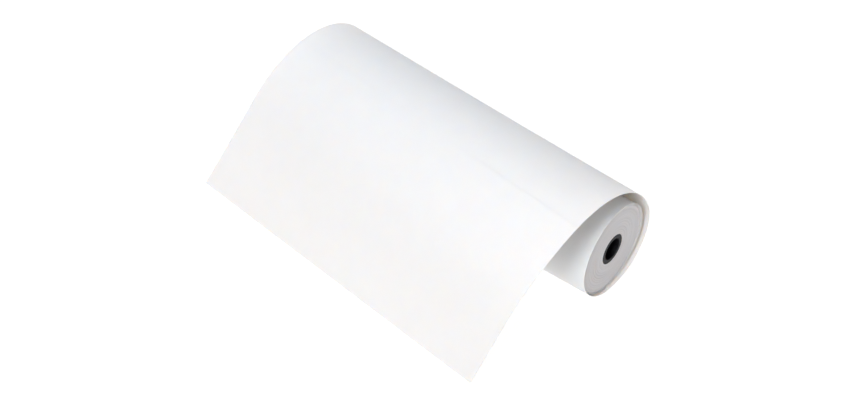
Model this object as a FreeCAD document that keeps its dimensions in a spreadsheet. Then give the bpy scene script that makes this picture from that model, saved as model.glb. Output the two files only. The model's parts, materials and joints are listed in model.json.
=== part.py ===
import FreeCAD, Part
import Sketcher
import math
import os

# Paper roll lying on its side: a web of paper wound on a black tube core, with its last turn
# loosened and its leading end led over the top and down to the table in front.
#
# It is drawn about the core: the core's axis is the X axis, the roll's near end is at x = 0,
# the roll reaches to -X, the leading end comes down on the -Y side, and Z is up. Every part is
# then placed by the same amount, so that the origin is the middle of the box round them all,
# at the height of the table.

PARTS_FOLDER = "parts"

DIMENSIONS = {
    # the roll, in millimetres
    "web_width": 210.0,
    "roll_radius": 26.6,
    "core_radius": 9.0,
    "bore_radius": 6.35,
    "core_chamfer": 0.4,
    # the tape that holds the web's inner end to the core, with its sweep in degrees
    "tape_thickness": 0.2,
    "tape_sweep": 76.0,
    "tape_length": 204.0,
    # the loose web: its drawn thickness, its clearance from the roll and between its parts
    "sheet_thickness": 0.3,
    "turn_clearance": 0.8,
    "joint_gap": 0.3,
    # degrees of the last turn that still follow the roll before it lifts off at the table
    "wrap_sweep": 40.0,
    # distances along the web, from the table under the roll, to the lines that divide it
    "lift_line": 118.0,
    "pay_out_line": 141.0,
    # and to the line beyond which it is drawn off askew to the far end, with the angle in degrees
    "skew_line": 164.0,
    "skew": 13.0,
    # how far the loose turn has crept out of the roll's near end, and into its far end
    "near_creep": 2.8,
    "far_creep": 3.0,
    # the web's run at its near edge: radius and sweep of each bend, then straight to the table
    "near_lead_radius": 51.0,
    "near_lead_sweep": 12.0,
    "near_back_radius": 26.6,
    "near_back_sweep": 101.5,
    "near_crest_radius": 62.2,
    "near_crest_sweep": 134.0,
    # and at its far edge, where the turn is looser
    "far_lead_radius": 104.0,
    "far_lead_sweep": 18.0,
    "far_back_radius": 22.5,
    "far_back_sweep": 88.0,
    "far_crest_radius": 52.2,
    "far_crest_sweep": 129.5,
}

doc = FreeCAD.newDocument("paper_roll")
sheet = doc.addObject("Spreadsheet::Sheet", "dimensions")
for row, (alias, number) in enumerate(DIMENSIONS.items(), start=1):
    sheet.set(f"A{row}", alias)
    sheet.set(f"B{row}", str(number))
    sheet.setAlias(f"B{row}", alias)
doc.recompute()

ALONG_AXIS = FreeCAD.Rotation(FreeCAD.Vector(0, 0, 1), FreeCAD.Vector(-1, 0, 0))


def size(alias):
    """The value of one cell of the sheet."""
    return float(sheet.get(alias))


# ------------------------------------------------------------------ core tube: a padded sketch

def bound_circle(sketch, name, formula):
    """A circle about the core's axis whose radius follows the sheet."""
    circle = sketch.addGeometry(Part.Circle(FreeCAD.Vector(), FreeCAD.Vector(0, 0, 1), 5.0))
    sketch.addConstraint(Sketcher.Constraint("Coincident", circle, 3, -1, 1))
    radius = sketch.addConstraint(Sketcher.Constraint("Radius", circle, 5.0 + circle))
    sketch.renameConstraint(radius, name)
    sketch.setExpression(f"Constraints.{name}", formula)


def make_core_tube():
    """The plastic tube, flush with the roll at both ends, its four rims lightly chamfered."""
    body = doc.addObject("PartDesign::Body", "core_tube")
    end_plane = next(p for p in body.Origin.OriginFeatures if p.Role == "YZ_Plane")
    ring = body.newObject("Sketcher::SketchObject", "core_ring")
    ring.AttachmentSupport = [(end_plane, "")]
    ring.MapMode = "FlatFace"
    bound_circle(ring, "outside", "dimensions.core_radius")
    bound_circle(ring, "bore", "dimensions.bore_radius")
    tube = body.newObject("PartDesign::Pad", "core_pad")
    tube.Profile = ring
    tube.Reversed = True
    tube.setExpression("Length", "dimensions.web_width")
    doc.recompute()
    rims = [
        f"Edge{number}"
        for number, edge in enumerate(tube.Shape.Edges, start=1)
        if isinstance(edge.Curve, Part.Circle)
    ]
    chamfer = body.newObject("PartDesign::Chamfer", "core_rims")
    chamfer.Base = (tube, rims)
    chamfer.setExpression("Size", "dimensions.core_chamfer")
    body.Tip = chamfer
    return body


# ----------------------------------------------- tape and wound web: cylinders and their cuts

def bound_cylinder(name, radius, length, start=None, sweep=None):
    """A cylinder along the core's axis, from x = -start towards the far end."""
    cylinder = doc.addObject("Part::Cylinder", name)
    cylinder.Placement = FreeCAD.Placement(FreeCAD.Vector(), ALONG_AXIS)
    cylinder.setExpression("Radius", radius)
    cylinder.setExpression("Height", length)
    if start:
        cylinder.setExpression("Placement.Base.x", f"-({start})")
    if sweep:
        cylinder.setExpression("Angle", sweep)
    return cylinder


def tape_sector(name):
    """The tape and all that is inside it, as a sector about the core's axis."""
    return bound_cylinder(
        name,
        radius="dimensions.core_radius + dimensions.tape_thickness",
        length="dimensions.tape_length",
        start="(dimensions.web_width - dimensions.tape_length) / 2",
        sweep="dimensions.tape_sweep",
    )


def core_space(name):
    """The whole cylinder that the core tube fills."""
    return bound_cylinder(name, "dimensions.core_radius", "dimensions.web_width")


def make_core_tape():
    """Double-sided tape along the core, under the web's first turn."""
    tape = doc.addObject("Part::Cut", "core_tape")
    tape.Base = tape_sector("tape_stock")
    tape.Tool = core_space("tape_core_space")
    return tape


def make_wound_web():
    """The tightly wound turns, as one solid that fits the core and the tape."""
    inside = doc.addObject("Part::Fuse", "web_inside")
    inside.Base = core_space("web_core_space")
    inside.Tool = tape_sector("web_tape_space")
    web = doc.addObject("Part::Cut", "wound_web")
    web.Base = bound_cylinder("web_stock", "dimensions.roll_radius", "dimensions.web_width")
    web.Tool = inside
    return web


# --------------------------------------------- loose web: solids ruled between its two edges
#
# The loose web's two edges run differently, because the turn is looser at the far end, so the
# faces of its parts are ruled from one edge to the other. An edge is a chain of bends, which
# starts on the roll, touches the table under the core's axis, goes up behind the roll, over it
# and down in front. Its heading is the angle turned since the table, about the X axis.

def table_drop():
    """How far the table lies below the core's axis."""
    return size("roll_radius") + size("turn_clearance") + size("sheet_thickness")


def turned(heading, depth):
    """A vector of the length of depth, square to the web and pointing to its inner side."""
    return FreeCAD.Vector(0, -depth * math.sin(heading), depth * math.cos(heading))


def edge_bends(edge):
    """The bends of one edge of the web, from the roll on, as radius and sweep in radians."""
    bends = [(table_drop(), math.radians(size("wrap_sweep")))]
    for bend in ("lead", "back", "crest"):
        sweep = math.radians(size(f"{edge}_{bend}_sweep"))
        bends.append((size(f"{edge}_{bend}_radius"), sweep))
    return bends


def web_start():
    """Where the loose web starts, as a distance along it from the table under the roll."""
    radius, sweep = (table_drop(), math.radians(size("wrap_sweep")))
    return -radius * sweep


def web_knots(edge):
    """The distances along an edge where one bend ends and the next begins."""
    knots = [web_start()]
    for radius, sweep in edge_bends(edge):
        knots.append(knots[-1] + radius * sweep)
    return knots


def web_profile(edge, distance, depth):
    """A point of an edge's run in the YZ plane, at a depth under the web's outer face."""
    heading = -math.radians(size("wrap_sweep"))
    left = distance - web_start()
    centre = FreeCAD.Vector()
    previous = table_drop()
    for radius, sweep in edge_bends(edge):
        centre = centre + turned(heading, radius - previous)
        previous = radius
        turn = min(left / radius, sweep)
        heading += turn
        left -= turn * radius
        if left <= 0:
            break
    forward = FreeCAD.Vector(0, math.cos(heading), math.sin(heading))
    return centre + turned(heading, depth - radius) + forward * max(left, 0)


def web_end(edge):
    """The distance along an edge at which the sheet's under side meets the table."""
    last_bend = web_knots(edge)[-1]
    under_side = web_profile(edge, last_bend, size("sheet_thickness"))
    next_point = web_profile(edge, last_bend + 1, size("sheet_thickness"))
    return last_bend + (under_side.z + table_drop()) / (under_side.z - next_point.z)


def edge_place(edge):
    """Where an edge of the loose web lies along the core's axis, round the roll."""
    if edge == "near":
        return size("near_creep")
    return size("far_creep") - size("web_width")


def web_point(edge, distance, depth):
    """A point of the loose web's edge, drawn askew beyond the skew line."""
    point = web_profile(edge, distance, depth)
    askew = max(0, distance - size("skew_line"))
    point.x = edge_place(edge) - askew * math.tan(math.radians(size("skew")))
    return point


def edge_curves(edge, start, end, depth):
    """The arcs and lines of one edge between two distances along it, at a depth."""
    corners = sorted(web_knots(edge) + [size("skew_line")])
    knots = [start] + [k for k in corners if start < k < end] + [end]
    curves = []
    for first, last in zip(knots, knots[1:]):
        points = [web_point(edge, k, depth) for k in (first, (first + last) / 2, last)]
        if first >= web_knots(edge)[-1]:
            curves.append(Part.LineSegment(points[0], points[-1]).toShape())
        else:
            curves.append(Part.Arc(*points).toShape())
    return curves


def end_line(edge, distance):
    """The short line through the web's thickness at one of its edges."""
    faces = (web_point(edge, distance, depth) for depth in (0, size("sheet_thickness")))
    return Part.LineSegment(*faces).toShape()


def make_web_part(name, start, end):
    """One part of the loose web. start and end give a distance for each edge."""
    under = size("sheet_thickness")
    near, near_under, far, far_under = (
        edge_curves(edge, start(edge), end(edge), depth)
        for edge in ("near", "far")
        for depth in (0, under)
    )
    pairs = []
    for one, other in ((near, far), (near_under, far_under), (near, near_under), (far, far_under)):
        pairs += zip(one, other)
    for limit in (start, end):
        pairs.append([end_line(edge, limit(edge)) for edge in ("near", "far")])
    skin = Part.makeShell([Part.makeRuledSurface(*pair) for pair in pairs])
    skin.sewShape()
    part = doc.addObject("Part::Feature", name)
    part.Shape = Part.makeSolid(skin)
    return part


def at(line, offset):
    """The distance of a dividing line, moved along the web by an offset, for either edge."""
    return lambda edge: size(line) + offset


def make_loose_web():
    """The loose turn, the sheet that lifts off it, and the leading sheet that is pulled."""
    half_gap = size("joint_gap") / 2
    turn = make_web_part("loose_turn", lambda edge: web_start(), at("lift_line", -half_gap))
    upper = make_web_part(
        "upper_sheet", at("lift_line", half_gap), at("pay_out_line", -half_gap)
    )
    leading = make_web_part("leading_sheet", at("pay_out_line", half_gap), web_end)
    return [turn, upper, leading]


# ------------------------------------------------------------------- placing, checks and files

def place_on_table(parts):
    """Moves all parts alike, so that the origin is the middle of their box, on the table."""
    box = FreeCAD.BoundBox()
    for part in parts:
        box.add(part.Shape.optimalBoundingBox(False))
    shift = FreeCAD.Vector(-box.Center.x, -box.Center.y, table_drop())
    for part in parts:
        part.Placement.Base = part.Placement.Base + shift
    doc.recompute()
    return shift


def check_document(parts):
    """Stops if an object failed to recompute or a part is not one sound solid."""
    for thing in doc.Objects:
        if {"Invalid", "Error"} & set(thing.State):
            raise RuntimeError(f"{thing.Label} did not recompute")
    for part in parts:
        shape = part.Shape
        if shape.isNull() or not shape.isValid() or len(shape.Solids) != 1:
            raise RuntimeError(f"{part.Label} is not one sound solid")


def report(parts, shift):
    """Prints the sizes that describe the finished parts and the lines they move about."""
    print("shift of the core's axis", shift)
    for line in ("lift_line", "pay_out_line"):
        ends = [web_point(edge, size(line), 0) + shift for edge in ("near", "far")]
        print(line, *ends)
    print("free edge", *(web_point(edge, web_end(edge), 0) + shift for edge in ("near", "far")))
    print("web beyond the table line", *(round(web_end(edge), 2) for edge in ("near", "far")))
    for part in parts:
        box = part.Shape.BoundBox
        print(part.Label, "volume", round(part.Shape.Volume, 1), "box", box)


parts = [make_core_tube(), make_core_tape(), make_wound_web()] + make_loose_web()
doc.recompute()
shift = place_on_table(parts)
check_document(parts)
report(parts, shift)
os.makedirs(PARTS_FOLDER, exist_ok=True)
for part in parts:
    part.Shape.exportStep(os.path.join(PARTS_FOLDER, f"{part.Label}.step"))
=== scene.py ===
import json
import math

import bpy
import numpy as np
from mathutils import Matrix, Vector


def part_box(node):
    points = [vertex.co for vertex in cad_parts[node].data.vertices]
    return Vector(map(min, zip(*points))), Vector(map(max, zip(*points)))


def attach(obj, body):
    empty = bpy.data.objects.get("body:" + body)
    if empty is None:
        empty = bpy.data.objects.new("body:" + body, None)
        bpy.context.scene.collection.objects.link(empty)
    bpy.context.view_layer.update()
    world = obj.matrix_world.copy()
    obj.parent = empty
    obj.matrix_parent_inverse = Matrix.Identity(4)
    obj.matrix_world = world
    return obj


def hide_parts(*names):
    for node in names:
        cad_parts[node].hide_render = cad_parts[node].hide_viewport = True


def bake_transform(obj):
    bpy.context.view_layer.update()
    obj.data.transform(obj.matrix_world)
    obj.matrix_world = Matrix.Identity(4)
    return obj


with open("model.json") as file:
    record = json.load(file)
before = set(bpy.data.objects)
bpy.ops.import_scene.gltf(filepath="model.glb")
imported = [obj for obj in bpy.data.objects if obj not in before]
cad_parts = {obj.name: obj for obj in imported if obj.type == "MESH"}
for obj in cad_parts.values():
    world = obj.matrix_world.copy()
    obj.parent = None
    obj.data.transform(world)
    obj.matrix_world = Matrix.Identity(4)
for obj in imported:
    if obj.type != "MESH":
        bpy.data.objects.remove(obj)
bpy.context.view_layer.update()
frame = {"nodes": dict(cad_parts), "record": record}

# A small roll of white paper on a black tube core, lying on a table. Its last turns have come
# loose, and the end of the web is led over the top and down to the table in front.
#
# The core's axis runs along X, with the near end at +X. The web is one strip: its last turns
# spiral out from the tight roll, pass under it, rise behind it, go over it and come down in
# front. The heading of the web is the angle it has turned since it lay on the table under the
# core: 90 degrees behind the roll, 180 over it.

MM = 0.001

# ------------------------------------------------------------------ places taken from the frame

core_low, core_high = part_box("core_tube")
roll_low, roll_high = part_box("wound_web")
NEAR_END = core_high.x
FAR_END = core_low.x
AXIS_Y = (core_low.y + core_high.y) / 2
AXIS_Z = (core_low.z + core_high.z) / 2
CORE_RADIUS = (core_high.z - core_low.z) / 2
ROLL_RADIUS = (roll_high.z - roll_low.z) / 2
WEB_WIDTH = NEAR_END - FAR_END
BORE_RADIUS = frame["record"]["mounts"][0]["dims"]["r_mm"] * MM
ROLL_CENTRE = Vector(((NEAR_END + FAR_END) / 2, AXIS_Y, AXIS_Z))

# ---------------------------------------------------------------------- the web's own measures

PAPER = 0.18 * MM                 # drawn thickness of one layer
LAYER_GAP = 0.03 * MM             # between layers that lie tight
PAY_OUT_LINE = 141.0 * MM         # a distance along the web, from the table under the roll
# radius and sweep of the bends of each edge: off the table, up the back, over the crest
BENDS = {
    "near": ((51.0 * MM, 12.0), (26.6 * MM, 101.5), (62.2 * MM, 134.0)),
    "far": ((104.0 * MM, 18.0), (22.5 * MM, 88.0), (52.2 * MM, 129.5)),
}
BEND_EASE = 2.5 * MM              # how far the web takes to change from one bend to the next

# the slack turns between the tight roll and the loose turn
SLACK_TURNS = 3
SLACK_LEAVES = -90.0              # heading at which the last slack turn heads for the table
SLACK_SIDE = 60.0                 # heading at which the slack turns stand furthest off
SLACK_SPREAD = 130.0              # and how many degrees either side they are off the roll
SLACK = {
    "near": (0.25 * MM, 0.5 * MM, 0.9 * MM),
    "far": (0.3 * MM, 0.7 * MM, 1.3 * MM),
}

# how far the web has crept along the core: the slack turns a little, the loose turn more
SLACK_CREEP = 0.9 * MM
CREEP = {"near": 2.8 * MM, "far": 3.0 * MM}
CREEP_STARTS = -44.0 * MM
CREEP_ENDS = 15.6 * MM

# beyond this distance along it the web is drawn off askew, towards the far end
SKEW_LINE = 164.0 * MM
SKEW = math.tan(math.radians(13.0))
SKEW_EASE = 28.5 * MM             # how far the web takes to turn askew

# mesh steps
TURN_STEP = 3.0                   # degrees
RUN_STEP = 0.8 * MM
ACROSS_STEPS = 30
FINE_STEP = 0.1 * MM              # for adding up the web's run
RUN_END = 300.0 * MM              # past the free edge, where that sum stops


def smooth(x):
    """0 below 0, 1 above 1 and an even S between."""
    x = np.clip(x, 0, 1)
    return x * x * (3 - 2 * x)


# ------------------------------------------------------------------------- the web's two edges

def slack_run(edge):
    """The slack turns of one edge: heading, distance along the web, and place in the YZ plane."""
    start = SLACK_LEAVES - 360 * SLACK_TURNS
    heading = np.arange(start, TURN_STEP / 2, TURN_STEP)
    pitch = PAPER + LAYER_GAP
    turns = (heading - start) / 360
    tight = slack_floor() + PAPER + LAYER_GAP + pitch * np.minimum(turns, SLACK_TURNS)
    for turn, stand in enumerate(SLACK[edge]):
        side = start - SLACK_LEAVES + SLACK_SIDE + 360 * turn
        away = np.clip(np.abs(heading - side) / SLACK_SPREAD, 0, 1)
        tight = tight + stand * (0.5 + 0.5 * np.cos(np.pi * away))
    radius = tight + (AXIS_Z - tight) * smooth(1 - heading / SLACK_LEAVES)
    angle = np.radians(heading)
    y = AXIS_Y + radius * np.sin(angle)
    z = AXIS_Z - radius * np.cos(angle)
    steps = np.hypot(np.diff(y), np.diff(z))
    distance = np.concatenate([[0], np.cumsum(steps)])
    return distance - distance[-1], y, z


def slack_floor():
    """The radius of the tight roll, inside the slack turns."""
    return ROLL_RADIUS - SLACK_TURNS * (PAPER + LAYER_GAP)


def bent_run(edge):
    """The web from the table on: distance, and place in the YZ plane, closely spaced."""
    distance = np.arange(0, RUN_END, FINE_STEP)
    curvature = np.zeros(len(distance))
    begin = 0.0
    for radius, sweep in BENDS[edge]:
        end = begin + radius * math.radians(sweep)
        curvature[(distance >= begin) & (distance < end)] = 1 / radius
        begin = end
    reach = np.arange(-3 * BEND_EASE, 3 * BEND_EASE + FINE_STEP / 2, FINE_STEP)
    weights = np.exp(-0.5 * (reach / BEND_EASE) ** 2)
    padded = np.pad(curvature, len(reach) // 2, mode="edge")
    curvature = np.convolve(padded, weights / weights.sum(), mode="valid")
    heading = added_up(curvature)
    return distance, AXIS_Y + added_up(np.cos(heading)), added_up(np.sin(heading)), heading


def added_up(values):
    """The running sum of closely spaced values, from 0."""
    middles = (values[1:] + values[:-1]) / 2
    return np.concatenate([[0], np.cumsum(middles) * FINE_STEP])


def free_end(edge):
    """The distance along an edge at which the sheet's under side meets the table."""
    distance, y, z, heading = bent_run(edge)
    under = z + PAPER * np.cos(heading)
    falling = distance > PAY_OUT_LINE
    return float(np.interp(0, -under[falling], distance[falling]))


def edge_line(edge):
    """Points of one edge of the web's outer face, and their distances along the web."""
    slack_distance, slack_y, slack_z = slack_run(edge)
    fine, fine_y, fine_z, _ = bent_run(edge)
    up = spaced(0, PAY_OUT_LINE)
    down = spaced(PAY_OUT_LINE, free_end("near")) - PAY_OUT_LINE
    down = PAY_OUT_LINE + down * (free_end(edge) - PAY_OUT_LINE) / down[-1]
    bent = np.concatenate([up[1:], down[1:]])
    distance = np.concatenate([slack_distance, bent])
    y = np.concatenate([slack_y, np.interp(bent, fine, fine_y)])
    z = np.concatenate([slack_z, np.interp(bent, fine, fine_z)])
    askew = distance - SKEW_LINE
    skewed = SKEW / 2 * (askew + np.hypot(askew, SKEW_EASE))
    crept = (distance - CREEP_STARTS) / (CREEP_ENDS - CREEP_STARTS)
    slack_turn = np.clip(1 + distance / (2 * math.pi * ROLL_RADIUS * SLACK_TURNS), 0, 1)
    end = NEAR_END if edge == "near" else FAR_END
    x = end + SLACK_CREEP * slack_turn + (CREEP[edge] - SLACK_CREEP) * smooth(crept) - skewed
    return np.stack([x, y, z], axis=1), distance


def spaced(start, end):
    """Distances from start to end, about one run step apart."""
    return np.linspace(start, end, round((end - start) / RUN_STEP) + 1)


# ------------------------------------------------------------------------------- mesh building

def new_object(name, points, faces, face_materials=None):
    """A mesh object, shaded smooth, linked to the scene."""
    mesh = bpy.data.meshes.new(name)
    mesh.from_pydata([tuple(p) for p in points], [], faces)
    mesh.polygons.foreach_set("use_smooth", [True] * len(mesh.polygons))
    if face_materials is not None:
        mesh.polygons.foreach_set("material_index", face_materials)
    mesh.update()
    piece = bpy.data.objects.new(name, mesh)
    bpy.context.scene.collection.objects.link(piece)
    return piece


def strip_between(row_a, row_b):
    """Faces that join two equal rows of point numbers."""
    return [
        (a0, a1, b1, b0)
        for a0, a1, b0, b1 in zip(row_a, row_a[1:], row_b, row_b[1:])
    ]


def sheet_object(name, outer, inward):
    """A closed sheet one layer thick. outer is the grid of points of its outer face."""
    rows, columns = outer.shape[:2]
    count = rows * columns
    points = np.concatenate([outer.reshape(-1, 3), (outer + inward * PAPER).reshape(-1, 3)])
    points[:, 2] = np.maximum(points[:, 2], 0)
    top = np.arange(count).reshape(rows, columns)
    under = top + count
    faces = []
    for i in range(rows - 1):
        faces += strip_between(top[i].tolist(), top[i + 1].tolist())
        faces += strip_between(under[i + 1].tolist(), under[i].tolist())
    flat_faces = len(faces)
    faces += strip_between(top[-1].tolist(), under[-1].tolist())
    faces += strip_between(under[0].tolist(), top[0].tolist())
    faces += strip_between(under[:, -1].tolist(), top[:, -1].tolist())
    faces += strip_between(top[:, 0].tolist(), under[:, 0].tolist())
    piece = new_object(name, points, faces)
    set_sheet_normals(piece.data, inward.reshape(-1, 3), flat_faces)
    return piece


def set_sheet_normals(mesh, inward, flat_faces):
    """Shades the two faces by the web's own normals, and the cut edges square to them."""
    normals = np.concatenate([-inward, inward])
    shaded = []
    for face in mesh.polygons:
        if face.index < flat_faces:
            shaded += [tuple(normals[corner]) for corner in face.vertices]
        else:
            shaded += [tuple(face.normal)] * len(face.vertices)
    mesh.normals_split_custom_set(shaded)


def turned_object(name, profile, segments, profile_materials=None):
    """A closed ring turned about the X axis from a closed profile of (x, radius) points."""
    count = len(profile)
    angles = np.linspace(0, 2 * math.pi, segments, endpoint=False)
    points = [
        (x, radius * math.sin(angle), radius * math.cos(angle))
        for angle in angles
        for x, radius in profile
    ]
    faces = []
    materials = []
    for segment in range(segments):
        here = segment * count
        there = (segment + 1) % segments * count
        for i in range(count):
            j = (i + 1) % count
            faces.append((here + i, there + i, there + j, here + j))
            materials.append(profile_materials[i] if profile_materials else 0)
    piece = new_object(name, points, faces, materials)
    piece.data.set_sharp_from_angle(angle=SHARP_ANGLE)
    return piece


# ------------------------------------------------------------------------------ the loose web

def web_grid():
    """The web's outer face as a grid of points, its inward normals, and its distances."""
    near, distance = edge_line("near")
    far, _ = edge_line("far")
    across = np.linspace(0, 1, ACROSS_STEPS + 1)[None, :, None]
    grid = near[:, None, :] * (1 - across) + far[:, None, :] * across
    along_web = np.gradient(grid, axis=0)
    across_web = np.gradient(grid, axis=1)
    inward = np.cross(along_web, across_web)
    inward /= np.linalg.norm(inward, axis=2, keepdims=True)
    return grid, inward, distance


def make_web():
    """The loose web in its two pieces, divided at the pay-out line."""
    grid, inward, distance = web_grid()
    divide = int(np.argmin(np.abs(distance - PAY_OUT_LINE)))
    turns = sheet_object("loose_web", grid[:divide + 1], inward[:divide + 1])
    lead = sheet_object("leading_web", grid[divide:], inward[divide:])
    lengths = (distance[divide] - distance[0], distance[-1] - distance[divide])
    return turns, lead, lengths


# --------------------------------------------------------------------------- roll and core

ROLL_SEGMENTS = 192
RING_WIDTH = 0.36 * MM            # a band of about five turns that lie flush
RING_STEP = 0.05 * MM             # how far one band may stand off the next
RIM_RADIUS = 0.12 * MM
TAPE_CLEAR = 0.3 * MM             # the wound web's bore stands clear of the core's tape
TAPE_INSET = 2.4 * MM
CORE_RIM = 0.35 * MM
CORE_SEGMENTS = 144
RING_LIP = 0.03 * MM              # how steep the step from one band to the next is
SHARP_ANGLE = math.radians(35)


def ring_bands(rng, inner, outer):
    """Radii and depths of the bands of turns seen at an end of the roll."""
    count = round((outer - inner) / RING_WIDTH)
    edges = np.linspace(inner, outer, count + 1)
    edges[1:-1] += rng.uniform(-0.3, 0.3, count - 1) * RING_WIDTH
    drift = np.cumsum(rng.normal(0, RING_STEP, count))
    drift -= np.linspace(drift[0], drift[-1], count)
    depth = np.abs(drift) * 0.5 + rng.uniform(0, RING_STEP / 2, count)
    return edges, depth


def end_profile(rng, inner, outer):
    """(depth below the end, radius) points across one end of the roll, from the core out."""
    edges, depths = ring_bands(rng, inner, outer - RIM_RADIUS)
    points = []
    for low, high, depth in zip(edges, edges[1:], depths):
        points += [(depth, low + RING_LIP), (depth, high - RING_LIP)]
    points[0] = (depths[0], inner)
    for angle in np.radians([0, 30, 60, 90]):
        depth = depths[-1] + RIM_RADIUS * (1 - math.cos(angle))
        points.append((depth, outer - RIM_RADIUS * (1 - math.sin(angle))))
    return points


def make_roll():
    """The tight turns: ringed ends of stacked paper edges, and the outermost turn's face."""
    rng = np.random.default_rng(7)
    inner = CORE_RADIUS + LAYER_GAP
    half = WEB_WIDTH / 2
    near = [(half - depth, radius) for depth, radius in end_profile(rng, inner, slack_floor())]
    far = [(depth - half, radius) for depth, radius in end_profile(rng, inner, slack_floor())]
    waist = half - TAPE_INSET
    bore = [(x, radius) for x, radius in (
        (-waist, inner), (-waist, inner + TAPE_CLEAR), (waist, inner + TAPE_CLEAR), (waist, inner)
    )]
    profile = near + far[::-1] + bore
    materials = [1] * (len(near) - 1) + [0] + [1] * (len(far) - 1) + [0] * (len(bore) + 1)
    roll = turned_object("wound_turns", profile, ROLL_SEGMENTS, materials)
    roll.location = ROLL_CENTRE
    return roll


def make_core():
    """The black tube, its four rims rounded."""
    half = WEB_WIDTH / 2
    quarter = np.radians(np.linspace(0, 90, 6))
    corner = [(CORE_RIM * (1 - math.cos(a)), CORE_RIM * (1 - math.sin(a))) for a in quarter]
    outside = [(half - back, CORE_RADIUS - down) for back, down in corner]
    inside = [(half - back, BORE_RADIUS + down) for back, down in corner[::-1]]
    near = inside + outside
    far = [(-x, radius) for x, radius in near[::-1]]
    core = turned_object("core_barrel", near + far, CORE_SEGMENTS)
    core.location = ROLL_CENTRE
    return core


# ----------------------------------------------------------------------------------- materials

class Surface:
    """A node material with one Principled shader, and short ways to add to it."""

    def __init__(self, name, roughness, colour=(1, 1, 1)):
        self.material = bpy.data.materials.new(name)
        self.material.use_nodes = True
        self.nodes = self.material.node_tree.nodes
        self.links = self.material.node_tree.links
        self.shader = self.nodes["Principled BSDF"]
        self.shader.inputs["Roughness"].default_value = roughness
        self.shader.inputs["Base Color"].default_value = (*colour, 1)
        self.place = self.nodes.new("ShaderNodeTexCoord").outputs["Object"]

    def add(self, kind, settings=None, **inputs):
        """A node of a kind, its sockets given as values or as outputs of other nodes."""
        node = self.nodes.new(kind)
        for name, value in (settings or {}).items():
            setattr(node, name, value)
        for name, value in inputs.items():
            socket = node.inputs[int(name[1:])] if name[0] == "_" else node.inputs[name]
            if isinstance(value, bpy.types.NodeSocket):
                self.links.new(value, socket)
            else:
                socket.default_value = value
        return node

    def noise(self, scale, detail=3.0, place=None):
        """Noise with features of about 1 / scale metres."""
        node = self.add("ShaderNodeTexNoise", Vector=place or self.place, Scale=scale)
        node.inputs["Detail"].default_value = detail
        return node.outputs["Fac"]

    def ramp(self, value, low, high, dark, light):
        """Two colours, blended as a value goes from low to high."""
        node = self.add("ShaderNodeValToRGB", Fac=value)
        for stop, position, colour in zip(node.color_ramp.elements, (low, high), (dark, light)):
            stop.position = position
            stop.color = (*colour, 1)
        return node.outputs["Color"]

    def scale_value(self, value, low, high):
        """A value from 0 to 1, mapped to the range from low to high."""
        node = self.add("ShaderNodeMapRange", Value=value)
        node.inputs["To Min"].default_value = low
        node.inputs["To Max"].default_value = high
        return node.outputs["Result"]

    def ring_place(self):
        """A place that changes only with the distance from the X axis."""
        split = self.add("ShaderNodeSeparateXYZ", Vector=self.place)
        flat = self.add("ShaderNodeCombineXYZ", Y=split.outputs["Y"], Z=split.outputs["Z"])
        length = self.add("ShaderNodeVectorMath", {"operation": "LENGTH"}, _0=flat.outputs[0])
        return self.add("ShaderNodeCombineXYZ", X=length.outputs["Value"]).outputs[0]

    def colour(self, socket):
        """The base colour, from a socket."""
        self.links.new(socket, self.shader.inputs["Base Color"])

    def roughness(self, socket):
        """The roughness, from a socket."""
        self.links.new(socket, self.shader.inputs["Roughness"])

    def bump(self, height, strength, distance):
        """Fine relief from a height, at most distance deep."""
        node = self.add("ShaderNodeBump", Height=height, Strength=strength, Distance=distance)
        self.links.new(node.outputs["Normal"], self.shader.inputs["Normal"])

    def let_light_through(self, radius, scale):
        """Light scatters inside, so that a thin sheet glows when lit from behind."""
        self.shader.inputs["Subsurface Weight"].default_value = 1.0
        self.shader.inputs["Subsurface Radius"].default_value = radius
        self.shader.inputs["Subsurface Scale"].default_value = scale


def paper_face():
    """The web's smooth matt face: faint cloudy formation and fine fibre."""
    paper = Surface("paper_face", roughness=0.62)
    clouds = paper.noise(scale=90, detail=4)
    paper.colour(paper.ramp(clouds, 0.35, 0.7, (0.82, 0.795, 0.78), (0.83, 0.805, 0.79)))
    fibre = paper.noise(scale=2600, detail=5)
    paper.roughness(paper.scale_value(fibre, 0.55, 0.72))
    paper.bump(fibre, strength=0.12, distance=0.02 * MM)
    paper.let_light_through((1.0, 0.82, 0.66), 0.45 * MM)
    return paper.material


def paper_edge():
    """The roll's ends, where hundreds of cut edges lie side by side in rings."""
    edge = Surface("paper_edge", roughness=0.8)
    rings = edge.ring_place()
    wide = edge.noise(scale=900, detail=4, place=rings)
    edge.colour(edge.ramp(wide, 0.3, 0.72, (0.67, 0.645, 0.65), (0.75, 0.725, 0.73)))
    edge.roughness(edge.scale_value(wide, 0.72, 0.88))
    fine = edge.noise(scale=7000, detail=2, place=rings)
    edge.bump(fine, strength=0.35, distance=0.04 * MM)
    edge.let_light_through((1.0, 0.82, 0.66), 0.1 * MM)
    return edge.material


def black_plastic():
    """Extruded tube: satin black with faint lines and scuffs."""
    plastic = Surface("core_plastic", roughness=0.4)
    scuffs = plastic.noise(scale=700, detail=6)
    plastic.colour(plastic.ramp(scuffs, 0.35, 0.75, (0.003, 0.003, 0.004), (0.009, 0.008, 0.01)))
    plastic.roughness(plastic.scale_value(scuffs, 0.4, 0.6))
    plastic.shader.inputs["Specular IOR Level"].default_value = 0.15
    lines = plastic.noise(scale=5000, detail=2, place=plastic.ring_place())
    plastic.bump(lines, strength=0.2, distance=0.03 * MM)
    return plastic.material


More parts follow.
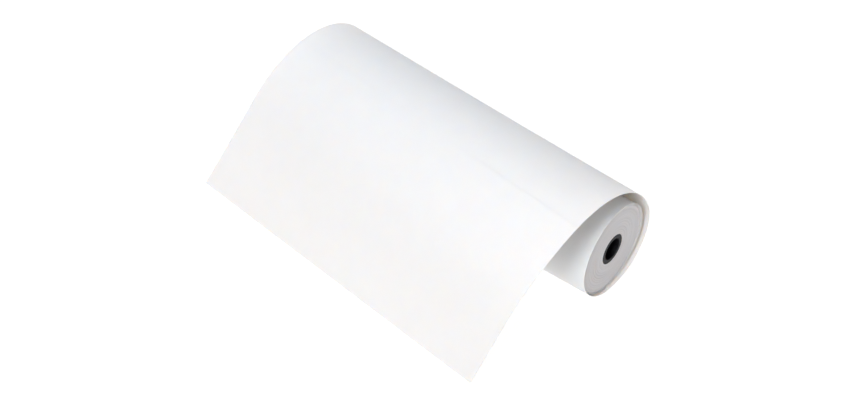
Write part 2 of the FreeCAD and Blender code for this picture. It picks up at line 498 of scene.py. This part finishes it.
def clear_tape():
    """Thin double-sided tape with its dull adhesive face."""
    tape = Surface("clear_tape", roughness=0.3)
    haze = tape.noise(scale=500, detail=3)
    tape.colour(tape.ramp(haze, 0.3, 0.7, (0.74, 0.72, 0.62), (0.8, 0.78, 0.7)))
    tape.roughness(tape.scale_value(haze, 0.22, 0.4))
    tape.bump(haze, strength=0.1, distance=0.02 * MM)
    return tape.material


def give(piece, *materials):
    """Sets a piece's materials, and keeps which face has which."""
    which = [polygon.material_index for polygon in piece.data.polygons]
    piece.data.materials.clear()
    for material in materials:
        piece.data.materials.append(material)
    piece.data.polygons.foreach_set("material_index", which)


# ------------------------------------------------------------------------ stage, light, camera

FLOOR_SIZE = 24.0
FLOOR_COLOUR = (0.15, 0.15, 0.15)
FLOOR_GLOW = 0.94
FLOOR_TINT = (1.0, 0.99, 0.98)
HORIZON_GLOW = 0.6
OVERHEAD_GLOW = 0.12
GLOW_FALLS = (2, 11)              # degrees above the horizon between which it dims
LIGHT_DISTANCE = 1.5
LIGHT_COLOUR = (0.9, 0.943, 1.0)
SKY_COLOUR = (0.99, 0.99, 1.0)
CAMERA_AZIMUTH = 39.03
CAMERA_PITCH = 43.83
CAMERA_OFFSET = Vector((0.27331, -0.48929, 0.56229))      # from the middle of the near end
LENS = 62.79
SENSOR = 36.0


def make_floor():
    """A plain white table top that glows, as a light table does."""
    half = FLOOR_SIZE / 2
    corners = [(-half, -half, 0), (half, -half, 0), (half, half, 0), (-half, half, 0)]
    floor = new_object("floor", corners, [(0, 1, 2, 3)])
    surface = Surface("white_floor", roughness=0.9, colour=FLOOR_COLOUR)
    surface.shader.inputs["Emission Color"].default_value = (*FLOOR_TINT, 1)
    surface.shader.inputs["Emission Strength"].default_value = FLOOR_GLOW
    give(floor, surface.material)


def make_world():
    """A studio that is bright round the horizon and dimmer overhead."""
    world = bpy.data.worlds.new("studio")
    bpy.context.scene.world = world
    world.use_nodes = True
    nodes = world.node_tree.nodes
    links = world.node_tree.links
    place = nodes.new("ShaderNodeTexCoord")
    split = nodes.new("ShaderNodeSeparateXYZ")
    height = nodes.new("ShaderNodeMapRange")
    height.inputs["From Min"].default_value = math.sin(math.radians(GLOW_FALLS[0]))
    height.inputs["From Max"].default_value = math.sin(math.radians(GLOW_FALLS[1]))
    height.inputs["To Min"].default_value = HORIZON_GLOW
    height.inputs["To Max"].default_value = OVERHEAD_GLOW
    links.new(place.outputs["Generated"], split.inputs[0])
    links.new(split.outputs["Z"], height.inputs["Value"])
    links.new(height.outputs["Result"], nodes["Background"].inputs["Strength"])
    nodes["Background"].inputs["Color"].default_value = (*SKY_COLOUR, 1)


def make_softbox(name, azimuth, elevation, size, level):
    """A square area light that faces the roll. level is how bright it makes a white face."""
    around, up = math.radians(azimuth), math.radians(elevation)
    way = Vector((math.cos(around) * math.cos(up), math.sin(around) * math.cos(up), math.sin(up)))
    light = bpy.data.lights.new(name, "AREA")
    light.shape = "SQUARE"
    light.size = size
    light.energy = level * (math.pi * LIGHT_DISTANCE) ** 2
    light.color = LIGHT_COLOUR
    lamp = bpy.data.objects.new(name, light)
    lamp.location = way * LIGHT_DISTANCE
    lamp.rotation_mode = "QUATERNION"
    lamp.rotation_quaternion = way.to_track_quat("Z", "Y")
    bpy.context.scene.collection.objects.link(lamp)


def make_camera():
    """The camera, in front of the near end and above it."""
    data = bpy.data.cameras.new("camera")
    data.lens = LENS
    data.sensor_width = SENSOR
    camera = bpy.data.objects.new("camera", data)
    camera.location = Vector((NEAR_END, AXIS_Y, AXIS_Z)) + CAMERA_OFFSET
    camera.rotation_euler = (math.radians(90 - CAMERA_PITCH), 0, math.radians(CAMERA_AZIMUTH))
    bpy.context.scene.collection.objects.link(camera)
    bpy.context.scene.camera = camera


make_floor()
make_world()
make_softbox("key", azimuth=284, elevation=44, size=0.35, level=0.63)
make_softbox("top", azimuth=118, elevation=68, size=0.6, level=0.56)
make_camera()
bpy.context.scene.view_settings.view_transform = "Standard"

# --------------------------------------------------------------------- pieces and their bodies

loose_web, leading_web, (loose_length, leading_length) = make_web()
wound_turns = make_roll()
core_barrel = make_core()

face = paper_face()
give(loose_web, face)
give(leading_web, face)
give(wound_turns, face, paper_edge())
give(core_barrel, black_plastic())
give(frame["nodes"]["core_tape"], clear_tape())

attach(wound_turns, "roll")
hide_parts("wound_web")
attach(core_barrel, "roll")
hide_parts("core_tube")

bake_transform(loose_web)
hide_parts("loose_turn", "upper_sheet")

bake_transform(leading_web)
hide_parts("leading_sheet")
